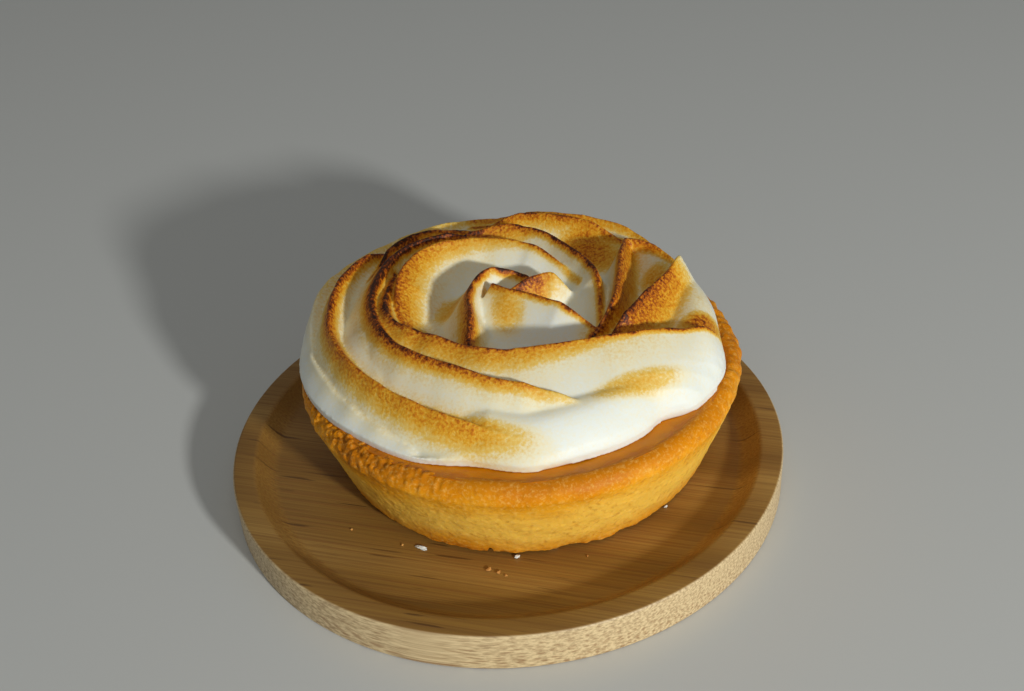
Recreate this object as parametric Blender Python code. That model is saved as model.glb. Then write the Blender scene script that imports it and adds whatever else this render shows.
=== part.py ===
"""A small lemon meringue tart on its round bamboo dish.

One body of four pieces that rest in each other and never move:
  bamboo_dish      a flat turned dish with a shallow recess
  pastry_shell     a shortcrust cup with a sloping wall and an uneven rim
  lemon_filling    the curd that fills the cup, showing at the rim
  meringue_swirl   the piped and toasted rosette on top

Metres, +Z up. The origin is the centre of the dish's underside, and the front is towards -Y.
"""

import math

import bmesh
import bpy
import numpy as np

MM = 0.001

# Gap that two touching pieces keep between them.
GAP = 0.3 * MM

# Dish.
DISH_RADIUS = 55.0 * MM
DISH_HEIGHT = 8.1 * MM
DISH_RIM_WIDTH = 4.4 * MM
DISH_COVE_WIDTH = 4.4 * MM
DISH_FLOOR = 4.6 * MM
DISH_EDGE_ROUND = 0.6 * MM
DISH_SEGMENTS = 72

# Tart: where it stands in the dish, and the cup's outside.
TART_X = 3.7 * MM
TART_Y = 4.6 * MM
SHELL_BASE_Z = DISH_FLOOR + GAP
SHELL_BASE_RADIUS = 36.9 * MM
SHELL_RIM_RADIUS = 43.2 * MM
SHELL_RIM_Z = 25.4 * MM
SHELL_BASE_ROUND = 1.2 * MM
SHELL_WALL = 3.2 * MM
SHELL_BOTTOM = 3.2 * MM
SHELL_SHOULDER_WIDTH = 2.4 * MM
SHELL_SHOULDER_HEIGHT = 3.0 * MM
SHELL_EDGE_ROUND = 0.4 * MM
SHELL_SLOPE = (SHELL_RIM_RADIUS - SHELL_BASE_RADIUS) / (SHELL_RIM_Z - SHELL_BASE_Z)
# The corner between the cup's wall and its floor inside.
INSIDE_CORNER_WIDTH = 1.0 * MM
INSIDE_CORNER_HEIGHT = 3.0 * MM
RIM_UNEVEN = 0.25 * MM
SHELL_SEGMENTS = 72

# Filling.
FILLING_TOP = 24.5 * MM
FILLING_EDGE_WIDTH = 0.4 * MM
FILLING_EDGE_HEIGHT = 1.0 * MM

# Meringue: its highest crests, how far its edge drops, and the ring that it ends in.
CROWN_TOP = 38.0 * MM
CROWN_FRONT_DROP = 12.0 * MM
CROWN_BACK_DROP = 5.0 * MM
CROWN_FLAT_RADIUS = 24.0 * MM
CROWN_EDGE_RADIUS = 43.0 * MM
VALLEY_DEPTH = 6.5 * MM
SKIRT_DEPTH = 2.6 * MM
SKIRT_START = 0.62
SKIRT_SPAN = 0.26
MERINGUE_UNDER = FILLING_TOP + GAP
LIP_UNDER = SHELL_RIM_Z + RIM_UNEVEN + GAP
EDGE_LIFT = 1.2 * MM
EDGE_ROUND_START = 0.86
# Around this angle the skirt lies lower by this much, fading out over the span on either side.
LOBE_ANGLE = 212.0
LOBE_SPAN = 42.0
LOBE_DEPTH = 3.0 * MM
MERINGUE_CELLS = 45
CREST_ROUND = 0.9 * MM
HEIGHT_BLUR = 1.3 * MM

# Radius of the meringue's outer edge, going round from the right: angle in degrees, radius in mm.
EDGE_RADII = ((-90, 38.4), (-76, 37.2), (-62, 37.0), (-48, 36.4), (-38, 39.2), (-22, 41.2),
              (-8, 39.4), (5, 39.2), (22, 38.0), (36, 39.2), (60, 40.6), (120, 42.4), (165, 43.4),
              (190, 43.2), (205, 41.8), (222, 39.8), (240, 38.9), (255, 36.6), (270, 38.4))

# The folds of the swirl. Each runs anticlockwise seen from above, so its left flank looks to the
# middle. crest: places on the plan that it passes over, from the tart's centre. lift: its height
# over the crown, changing evenly from start to end. left, right: width of each flank. All in mm.
# left_hollow, right_hollow: how scooped (over 1) or puffed (under 1) each flank is.
FOLDS = (
    # the low wall at the left and back, and the rope inside it
    dict(crest=((6, 38), (-5, 37.8), (-15, 35.6), (-25, 30.8), (-33, 23.2), (-38.2, 13.5),
                (-40.3, 3), (-39.5, -7)),
         lift=(-3.0, -0.8, 0.0, 0.2, 0.0, -0.8, -5.0), left=6, right=3,
         left_hollow=0.8, right_hollow=0.6),
    dict(crest=((-20, 28.5), (-26.8, 24.2), (-31.9, 18.2), (-34.7, 10.4), (-35.8, 3),
                (-35.7, -3.7), (-33.8, -9.7), (-30.3, -16), (-25, -22), (-19, -26.8),
                (-12.5, -30.6), (-5, -33.6), (3, -35.5)),
         lift=(-5.5, 0.0, 0.2, 0.0, -0.2, -0.8, -2.0, -3.5), left=5, right=5,
         left_hollow=1.2, right_hollow=1),
    # the short crest behind the rope
    dict(crest=((-4, 31), (-13.7, 31.2), (-18.6, 30.8), (-23.2, 27.4), (-26.6, 22), (-29, 15)),
         lift=(-3.0, -0.6, -0.2, -0.6, -5.0), left=3.5, right=3.5,
         left_hollow=1.2, right_hollow=1.2),
    # the two long crests that part at the left and run under the front
    dict(crest=((-6, 26.4), (-10.7, 25.7), (-15.9, 24.2), (-21.1, 21.5), (-25, 15.5),
                (-27.6, 4), (-26, -7), (-20.5, -15.8), (-8, -24.2), (0, -26.9), (7.5, -28.2),
                (16, -29.4), (24, -30.8)),
         lift=(-3.0, 0.3, 0.5, 0.5, 0.5, 0.2, -0.8, -3.6, -5.0), left=4.5, right=8,
         left_hollow=1.5, right_hollow=1.2),
    dict(crest=((-24, 14), (-25.5, 4), (-24, -6), (-16, -13), (-4, -18.9), (12, -17.5),
                (26, -14.5), (38, -10)),
         lift=(-2.0, 0.5, 0.5, 0.5, 0.0), left=6, right=12,
         left_hollow=1.4, right_hollow=0.9),
    # the broad petals at the left and at the back
    dict(crest=((12.5, 7), (9, 13), (2, 18.8), (-8, 21.3), (-17, 18.8), (-22, 11), (-22.8, 1),
                (-19, -9)),
         lift=(-4.5, 0.4, 0.8, 0.6, -5.0), left=10, right=3.5,
         left_hollow=1.3, right_hollow=1.3),
    dict(crest=((15.5, -6), (16, 4), (14, 11), (8.5, 20), (3, 25), (-3, 27), (-10, 25.8),
                (-16, 21.8)),
         lift=(-5.0, 0.5, 0.5, 0.5, 0.4, -0.6, -4.5), left=8, right=4.5,
         left_hollow=1.4, right_hollow=1.4),
    # the curl round the middle, and the two small petals inside it
    dict(crest=((3, 10), (-3, 10.5), (-7.5, 7.5), (-9.5, 1), (-9.5, -7), (-10.5, -14)),
         lift=(-2.0, 0.6, 0.6, 0.6, -4.0), left=5, right=6,
         left_hollow=1.6, right_hollow=1.6),
    dict(crest=((-5, 5), (-2, 2), (2, 0), (8, -4), (14, -8)),
         lift=(-0.5, 0.0, 0.0, 0.0, -3.5), left=4, right=9,
         left_hollow=1.4, right_hollow=1.1),
    dict(crest=((-1, 3), (3, 5.5), (6.5, 6.8), (11, 5.5)),
         lift=(-1.0, 0.0, 0.0, 0.0, -4.0), left=4, right=5,
         left_hollow=1.4, right_hollow=1.4),
    # the wall and the tall peak at the right, and the crest that joins them behind
    dict(crest=((14, -9.5), (18.5, -4), (20.5, 5), (22, 14), (23.5, 20.5)),
         lift=(-4.5, 0.3, 0.3, 0.3, -0.5), left=4.5, right=4.5,
         left_hollow=1.5, right_hollow=1.5),
    dict(crest=((16, -12.5), (20, -9.5), (25, -2.5), (30, 4.5), (33, 9.5)),
         lift=(-4.5, 0.8, 0.8, 0.8, 1.3), left=4.5, right=7,
         left_hollow=1.3, right_hollow=1.3),
    dict(crest=((33, 11), (31, 15.2), (28, 18.6), (23.8, 20.6)),
         lift=(-1.8, -1.2, -0.8, -0.6), left=4, right=4,
         left_hollow=1.4, right_hollow=1.4),
    # the low crests along the back edge
    dict(crest=((23, 23.5), (17, 27.8), (10, 31.2), (2, 34.4), (-8, 35)),
         lift=(-3.0, 0.3, 0.3, 0.3, -4.0), left=4, right=5,
         left_hollow=1.4, right_hollow=1.4),
    dict(crest=((30, 20), (26, 26), (19.5, 31), (11, 35), (1, 37.3), (-9, 37.2)),
         lift=(-2.5, 0.0, 0.2, 0.0, -3.0), left=4, right=6,
         left_hollow=1.3, right_hollow=1),
    # the puffed lobe along the front left edge
    dict(crest=((-41.5, 4), (-39.5, -5), (-35.5, -13.5), (-31, -20.5), (-26, -26),
                (-20.5, -31), (-15, -35)),
         lift=(-5.0, -2.8, -2.2, -2.2, -2.6, -3.2, -6.0), left=3, right=5,
         left_hollow=0.6, right_hollow=0.5),
)

# Rings under the meringue's edge: distance in from the edge, distance in from the rim's inner wall,
# rise over the underside, and whether the ring has stepped down inside the rim.
UNDER_RINGS = (
    (0.0 * MM, None, 0.7 * MM, False),
    (0.5 * MM, None, 0.0 * MM, False),
    (0.7 * MM, 0.3 * MM, 0.0 * MM, False),
    (0.9 * MM, 0.7 * MM, 0.0 * MM, True),
)

FOLD_STEPS = 48
FOLD_DEPTH = VALLEY_DEPTH + 1.0 * MM


def clear_scene():
    for thing in list(bpy.data.objects):
        bpy.data.objects.remove(thing, do_unlink=True)


def make_material(name, colour, roughness):
    material = bpy.data.materials.new(name)
    material.use_nodes = True
    shader = material.node_tree.nodes["Principled BSDF"]
    shader.inputs["Base Color"].default_value = (*colour, 1.0)
    shader.inputs["Roughness"].default_value = roughness
    shader.inputs["Metallic"].default_value = 0.0
    return material


def make_object(name, shape, material, place=(0.0, 0.0, 0.0), sharp_from=35.0):
    mesh = bpy.data.meshes.new(name)
    bmesh.ops.recalc_face_normals(shape, faces=shape.faces)
    shape.to_mesh(mesh)
    shape.free()
    mesh.materials.append(material)
    mesh.shade_smooth()
    mesh.set_sharp_from_angle(angle=math.radians(sharp_from))
    thing = bpy.data.objects.new(name, mesh)
    thing.location = place
    bpy.context.scene.collection.objects.link(thing)
    return thing


def arc(centre, radius, start, end, steps):
    """Points (radius, height) of a round corner in a turned profile. Angles in degrees."""
    angles = [math.radians(start + (end - start) * i / steps) for i in range(steps + 1)]
    return [(centre[0] + radius * math.cos(a), centre[1] + radius * math.sin(a)) for a in angles]


def turn(profile, segments, shift=None):
    """A closed turned solid. The profile runs from the axis below to the axis above."""
    shape = bmesh.new()
    rings = []
    for radius, height in profile:
        if radius == 0.0:
            rings.append([shape.verts.new((0.0, 0.0, height))] * segments)
            continue
        ring = []
        for i in range(segments):
            angle = 2.0 * math.pi * i / segments
            wide, high = (radius, height) if shift is None else shift(radius, height, angle)
            ring.append(shape.verts.new((wide * math.cos(angle), wide * math.sin(angle), high)))
        rings.append(ring)
    for low, high in zip(rings, rings[1:]):
        for i in range(segments):
            j = (i + 1) % segments
            corners = [low[i], low[j], high[j], high[i]]
            shape.faces.new(list(dict.fromkeys(corners)))
    return shape


# Dish --------------------------------------------------------------------------------------------

def build_dish():
    rim_inside = DISH_RADIUS - DISH_RIM_WIDTH
    floor_radius = rim_inside - DISH_COVE_WIDTH
    edge = DISH_EDGE_ROUND
    profile = [(0.0, 0.0)]
    profile += arc((DISH_RADIUS - edge, edge), edge, -90, 0, 3)
    profile += arc((DISH_RADIUS - edge, DISH_HEIGHT - edge), edge, 0, 90, 3)
    profile += [(rim_inside, DISH_HEIGHT)]
    # The cove falls in a quarter of a wave from the rim to the floor.
    steps = 4
    for i in range(1, steps + 1):
        t = i / steps
        fall = math.sin(0.5 * math.pi * t)
        profile.append((rim_inside - DISH_COVE_WIDTH * t, DISH_HEIGHT - (DISH_HEIGHT - DISH_FLOOR) * fall))
    profile += [(0.5 * floor_radius, DISH_FLOOR), (0.0, DISH_FLOOR)]
    bamboo = make_material("bamboo", (0.52, 0.30, 0.13), 0.55)
    return make_object("bamboo_dish", turn(profile, DISH_SEGMENTS), bamboo)


# Pastry shell ------------------------------------------------------------------------------------

def rim_wave(angle):
    """Unevenness of the cup's rim, from -1 to 1."""
    return (0.5 * math.sin(3 * angle + 0.8) + 0.3 * math.sin(8 * angle + 2.1)
            + 0.2 * math.sin(17 * angle + 0.3))


def shift_shell(radius, height, angle):
    share = max(0.0, (height - SHELL_BASE_Z) / (SHELL_RIM_Z - SHELL_BASE_Z))
    push = RIM_UNEVEN * rim_wave(angle) * share ** 3
    return radius + push, height + push


def build_shell():
    inside_floor = SHELL_BASE_Z + SHELL_BOTTOM
    inside_foot = SHELL_BASE_RADIUS + SHELL_SLOPE * SHELL_BOTTOM - SHELL_WALL
    inside_rim = SHELL_RIM_RADIUS - SHELL_WALL
    profile = [(0.0, SHELL_BASE_Z)]
    profile += arc((SHELL_BASE_RADIUS - SHELL_BASE_ROUND, SHELL_BASE_Z + SHELL_BASE_ROUND),
                   SHELL_BASE_ROUND, -90, -15, 3)
    # The shoulder is a quarter of an ellipse from the wall up to the rim.
    steps = 4
    for i in range(steps + 1):
        angle = 0.5 * math.pi * i / steps
        profile.append((SHELL_RIM_RADIUS - SHELL_SHOULDER_WIDTH * (1.0 - math.cos(angle)),
                        SHELL_RIM_Z - SHELL_SHOULDER_HEIGHT * (1.0 - math.sin(angle))))
    profile += arc((inside_rim + SHELL_EDGE_ROUND, SHELL_RIM_Z - SHELL_EDGE_ROUND),
                   SHELL_EDGE_ROUND, 90, 180, 2)
    profile += [(inside_foot + INSIDE_CORNER_WIDTH, inside_floor + INSIDE_CORNER_HEIGHT)]
    profile += [(inside_foot, inside_floor), (0.5 * inside_foot, inside_floor), (0.0, inside_floor)]
    pastry = make_material("pastry", (0.62, 0.33, 0.09), 0.7)
    shape = turn(profile, SHELL_SEGMENTS, shift_shell)
    return make_object("pastry_shell", shape, pastry, (TART_X, TART_Y, 0.0))


# Filling -----------------------------------------------------------------------------------------

def build_filling():
    floor = SHELL_BASE_Z + SHELL_BOTTOM + GAP
    foot = SHELL_BASE_RADIUS + SHELL_SLOPE * SHELL_BOTTOM - SHELL_WALL - 2.0 * GAP
    top_radius = SHELL_RIM_RADIUS - SHELL_WALL - 2.0 * RIM_UNEVEN - GAP
    profile = [(0.0, floor), (foot, floor), (foot + INSIDE_CORNER_WIDTH, floor + INSIDE_CORNER_HEIGHT)]
    profile += [(top_radius, FILLING_TOP - FILLING_EDGE_HEIGHT)]
    profile += [(top_radius - FILLING_EDGE_WIDTH, FILLING_TOP)]
    profile += [(0.5 * top_radius, FILLING_TOP), (0.0, FILLING_TOP)]
    curd = make_material("lemon_curd", (0.75, 0.40, 0.05), 0.2)
    return make_object("lemon_filling", turn(profile, SHELL_SEGMENTS), curd, (TART_X, TART_Y, 0.0))


# Meringue ----------------------------------------------------------------------------------------

def smooth_line(points, count):
    """Evenly numbered places on a smooth curve through the points (Catmull-Rom)."""
    knots = np.array(points, dtype=float)
    knots = np.vstack([2 * knots[0] - knots[1], knots, 2 * knots[-1] - knots[-2]])
    spans = len(knots) - 3
    at = np.linspace(0.0, spans, count)
    span = np.minimum(at.astype(int), spans - 1)
    t = (at - span)[:, None]
    a, b, c, d = (knots[span + k] for k in range(4))
    return 0.5 * (2 * b + (c - a) * t + (2 * a - 5 * b + 4 * c - d) * t ** 2
                  + (3 * b - a - 3 * c + d) * t ** 3)


def edge_radius(angle):
    """Radius of the meringue's outer edge at an angle in radians, averaged a little to each side."""
    degrees = np.degrees(angle)
    angles, radii = np.array(EDGE_RADII, dtype=float).T
    offsets = (-8.0, -6.0, -4.0, -2.0, 0.0, 2.0, 4.0, 6.0, 8.0)
    total = sum(np.interp((degrees + off + 90.0) % 360.0 - 90.0, angles, radii) for off in offsets)
    return total / len(offsets) * MM


def crown_height(x, y):
    """Height that the crests keep to: level in the middle, dropping to the edge, most at the front."""
    radius = np.hypot(x, y)
    out = np.clip((radius - CROWN_FLAT_RADIUS) / (CROWN_EDGE_RADIUS - CROWN_FLAT_RADIUS), 0.0, 1.2)
    front = np.clip((10.0 * MM - y) / (40.0 * MM), 0.0, 1.0)
    back = np.clip(y / (30.0 * MM), 0.0, 1.0)
    return CROWN_TOP - CROWN_FRONT_DROP * front * out ** 1.8 - CROWN_BACK_DROP * back * out ** 2


def body_height(x, y, rim):
    """Height of the plain mass under the folds. rim is how far out a place is, 1 at the edge."""
    skirt = np.clip((rim - SKIRT_START) / SKIRT_SPAN, 0.0, 1.0)
    from_lobe = np.abs(np.degrees(np.arctan2(y, x)) % 360.0 - LOBE_ANGLE) / LOBE_SPAN
    skirt_depth = SKIRT_DEPTH + LOBE_DEPTH * np.clip(1.5 - 1.5 * from_lobe, 0.0, 1.0)
    depth = VALLEY_DEPTH + (skirt_depth - VALLEY_DEPTH) * skirt ** 2 * (3 - 2 * skirt)
    return crown_height(x, y) - depth


def fold_height(fold, x, y):
    """Height of one fold over the plan: a rounded crest with a flank falling off on either side."""
    line = smooth_line(fold["crest"], FOLD_STEPS) * MM
    knots = np.linspace(0.0, 1.0, len(fold["lift"]))
    lift = np.interp(np.linspace(0.0, 1.0, FOLD_STEPS), knots, fold["lift"])
    tangent = np.gradient(line, axis=0)
    tangent /= np.linalg.norm(tangent, axis=1)[:, None]
    best = np.full(x.shape, -1.0)
    for (px, py), (tx, ty), rise in zip(line, tangent, lift * MM):
        dx = x - px
        dy = y - py
        apart = np.hypot(np.hypot(dx, dy), CREST_ROUND) - CREST_ROUND
        on_left = tx * dy - ty * dx > 0.0
        width = np.where(on_left, fold["left"], fold["right"]) * MM
        hollow = np.where(on_left, fold["left_hollow"], fold["right_hollow"])
        t = np.clip(apart / width, 0.0, 1.0)
        fall = FOLD_DEPTH * (1.0 - (1.0 - t) ** hollow)
        best = np.maximum(best, crown_height(px, py) + rise - fall)
    return best


def meringue_height(x, y, rim):
    height = body_height(x, y, rim)
    for fold in FOLDS:
        height = np.maximum(height, fold_height(fold, x, y))
    # The last stretch rounds down to the edge.
    round_off = np.clip((rim - EDGE_ROUND_START) / (1.0 - EDGE_ROUND_START), 0.0, 1.0)
    edge_height = LIP_UNDER + EDGE_LIFT
    return edge_height + (height - edge_height) * np.sqrt(1.0 - round_off ** 2.4)


def blurred_height(x, y, rim):
    """The height averaged over a small ring, which keeps the coarse cells from turning jagged."""
    total = 2.0 * meringue_height(x, y, rim)
    for k in range(6):
        turn_angle = k * math.pi / 3.0
        total += meringue_height(x + HEIGHT_BLUR * math.cos(turn_angle),
                                 y + HEIGHT_BLUR * math.sin(turn_angle), rim)
    return total / 8.0


def disc_grid(cells):
    """A square grid pressed into a unit disc, so that its cells stay even in size."""
    steps = np.linspace(-1.0, 1.0, cells + 1)
    u, v = np.meshgrid(steps, steps, indexing="ij")
    reach = np.maximum(np.abs(u), np.abs(v))
    wide = np.abs(u) >= np.abs(v)
    ratio = np.divide(np.where(wide, v, u), np.where(wide, u, v), out=np.zeros_like(u), where=reach > 0)
    angle = np.where(wide, 0.25 * np.pi * ratio, 0.5 * np.pi - 0.25 * np.pi * ratio)
    flip = np.where(np.where(wide, u, v) < 0.0, -1.0, 1.0)
    return flip * reach * np.cos(angle), flip * reach * np.sin(angle)


def build_meringue():
    cells = MERINGUE_CELLS
    unit_x, unit_y = disc_grid(cells)
    reach = edge_radius(np.arctan2(unit_y, unit_x))
    x = unit_x * reach
    y = unit_y * reach
    z = blurred_height(x, y, np.hypot(unit_x, unit_y))

    shape = bmesh.new()
    top = [[shape.verts.new((x[i, j], y[i, j], z[i, j])) for j in range(cells + 1)]
           for i in range(cells + 1)]
    for i in range(cells):
        for j in range(cells):
            shape.faces.new((top[i][j], top[i + 1][j], top[i + 1][j + 1], top[i][j + 1]))

    border = ([top[i][0] for i in range(cells)] + [top[cells][j] for j in range(cells)]
              + [top[i][cells] for i in range(cells, 0, -1)] + [top[0][j] for j in range(cells, 0, -1)])
    # Rings under the edge: the lip, which hangs over the cup's rim where it reaches that far, the
    # step inside the rim, and the flat underside on the filling.
    inside = SHELL_RIM_RADIUS - SHELL_WALL - 2.0 * RIM_UNEVEN - GAP
    rings = [border]
    for inset, clear, rise, steps_down in UNDER_RINGS:
        ring = []
        for v in border:
            reach = math.hypot(v.co.x, v.co.y)
            radius = reach - inset if clear is None else min(reach - inset, inside - clear)
            over_rim = reach > inside and not steps_down
            height = (LIP_UNDER if over_rim else MERINGUE_UNDER) + rise
            ring.append(shape.verts.new((v.co.x * radius / reach, v.co.y * radius / reach, height)))
        rings.append(ring)
    for upper, lower in zip(rings, rings[1:]):
        for i in range(len(border)):
            j = (i + 1) % len(border)
            shape.faces.new((upper[i], lower[i], lower[j], upper[j]))
    shape.faces.new(rings[-1])
    bmesh.ops.triangulate(shape, faces=shape.faces)
    meringue = make_material("meringue", (0.86, 0.84, 0.78), 0.45)
    return make_object("meringue_swirl", shape, meringue, (TART_X, TART_Y, 0.0), sharp_from=180.0)


def main():
    clear_scene()
    build_dish()
    build_shell()
    build_filling()
    build_meringue()


main()
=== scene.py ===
"""A small lemon meringue tart on its bamboo dish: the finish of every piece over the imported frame."""

import math

import bmesh
import bpy
import numpy as np
from mathutils import Matrix, Vector, noise


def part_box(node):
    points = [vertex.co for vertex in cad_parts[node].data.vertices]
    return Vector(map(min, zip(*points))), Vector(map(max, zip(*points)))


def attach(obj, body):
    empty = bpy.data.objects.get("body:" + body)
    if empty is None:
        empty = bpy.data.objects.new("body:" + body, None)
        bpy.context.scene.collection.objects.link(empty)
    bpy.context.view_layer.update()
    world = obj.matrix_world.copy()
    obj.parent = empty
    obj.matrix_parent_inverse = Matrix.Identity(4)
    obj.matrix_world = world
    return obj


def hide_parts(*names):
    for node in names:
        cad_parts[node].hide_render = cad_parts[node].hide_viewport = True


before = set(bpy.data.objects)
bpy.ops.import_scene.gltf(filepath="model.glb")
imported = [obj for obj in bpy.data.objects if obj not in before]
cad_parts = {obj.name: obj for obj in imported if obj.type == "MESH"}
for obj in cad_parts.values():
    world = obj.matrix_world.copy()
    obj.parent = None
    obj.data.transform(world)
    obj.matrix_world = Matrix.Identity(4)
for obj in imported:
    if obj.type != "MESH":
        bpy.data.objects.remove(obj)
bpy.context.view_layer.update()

MM = 0.001

# Places read from the frame: the dish, the cup standing in it, the curd in the cup, the swirl on top.
DISH_LOW, DISH_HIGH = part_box("bamboo_dish")
SHELL_LOW, SHELL_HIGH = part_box("pastry_shell")
CURD_LOW, CURD_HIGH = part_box("lemon_filling")
SWIRL_LOW, SWIRL_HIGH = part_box("meringue_swirl")

DISH_RADIUS = DISH_HIGH.x
DISH_HEIGHT = DISH_HIGH.z
DISH_RIM = 4.4 * MM
DISH_COVE = 4.4 * MM
DISH_COVE_STEPS = 12
DISH_FLOOR_RINGS = 3
DISH_FLOOR_RING = 0.22
DISH_EDGE = 0.55 * MM
DISH_FLOOR = SHELL_LOW.z - 0.3 * MM

TART = (SHELL_LOW + SHELL_HIGH) / 2
TART.z = 0.0
RIM_Z = SHELL_HIGH.z - 0.15 * MM
RIM_RADIUS = (SHELL_HIGH.x - SHELL_LOW.x) / 2 - 0.05 * MM
FOOT_Z = SHELL_LOW.z
FOOT_RADIUS = 36.9 * MM
FOOT_ROUND = 1.2 * MM
SHOULDER_WIDTH = 2.8 * MM
SHOULDER_HEIGHT = 3.2 * MM
WALL_ROWS = 46
SHOULDER_ROWS = 14
CURD_Z = CURD_HIGH.z

# The swirl, in millimetres from the tart's centre, as it is piped. Heights are over the table.
CROWN_TOP = 38.0
CROWN_FRONT_DROP = 12.0
CROWN_BACK_DROP = 5.0
CROWN_FLAT_RADIUS = 24.0
CROWN_EDGE_RADIUS = 43.0
VALLEY_DEPTH = 6.5
SKIRT_DEPTH = 2.6
LOBE_ANGLE = 212.0
LOBE_SPAN = 46.0
LOBE_DEPTH = 4.6
LIP_Z = RIM_Z / MM + 0.2
EDGE_Z = LIP_Z + 1.2
EDGE_START = 0.86
EDGE_CURVE = 2.4
SWIRL_UNDER = CURD_Z / MM + 0.15
SWIRL_VOXEL = 0.32 * MM
MASS_CELLS = 120
CREST_HALF = 0.34
SCORCH_WIDTH = 0.8

# Outer edge of the swirl: angle from the right in degrees, radius.
EDGE_RADII = ((-90, 38.4), (-76, 37.2), (-62, 37.2), (-51, 36.8), (-46, 35.6), (-41, 39.0), (-22, 41.2),
              (-8, 39.4), (5, 39.2), (22, 38.0), (36, 39.2), (60, 40.6), (120, 42.4), (165, 43.4),
              (190, 43.2), (205, 41.8), (222, 39.8), (240, 38.9), (255, 36.6), (270, 38.4))

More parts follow.
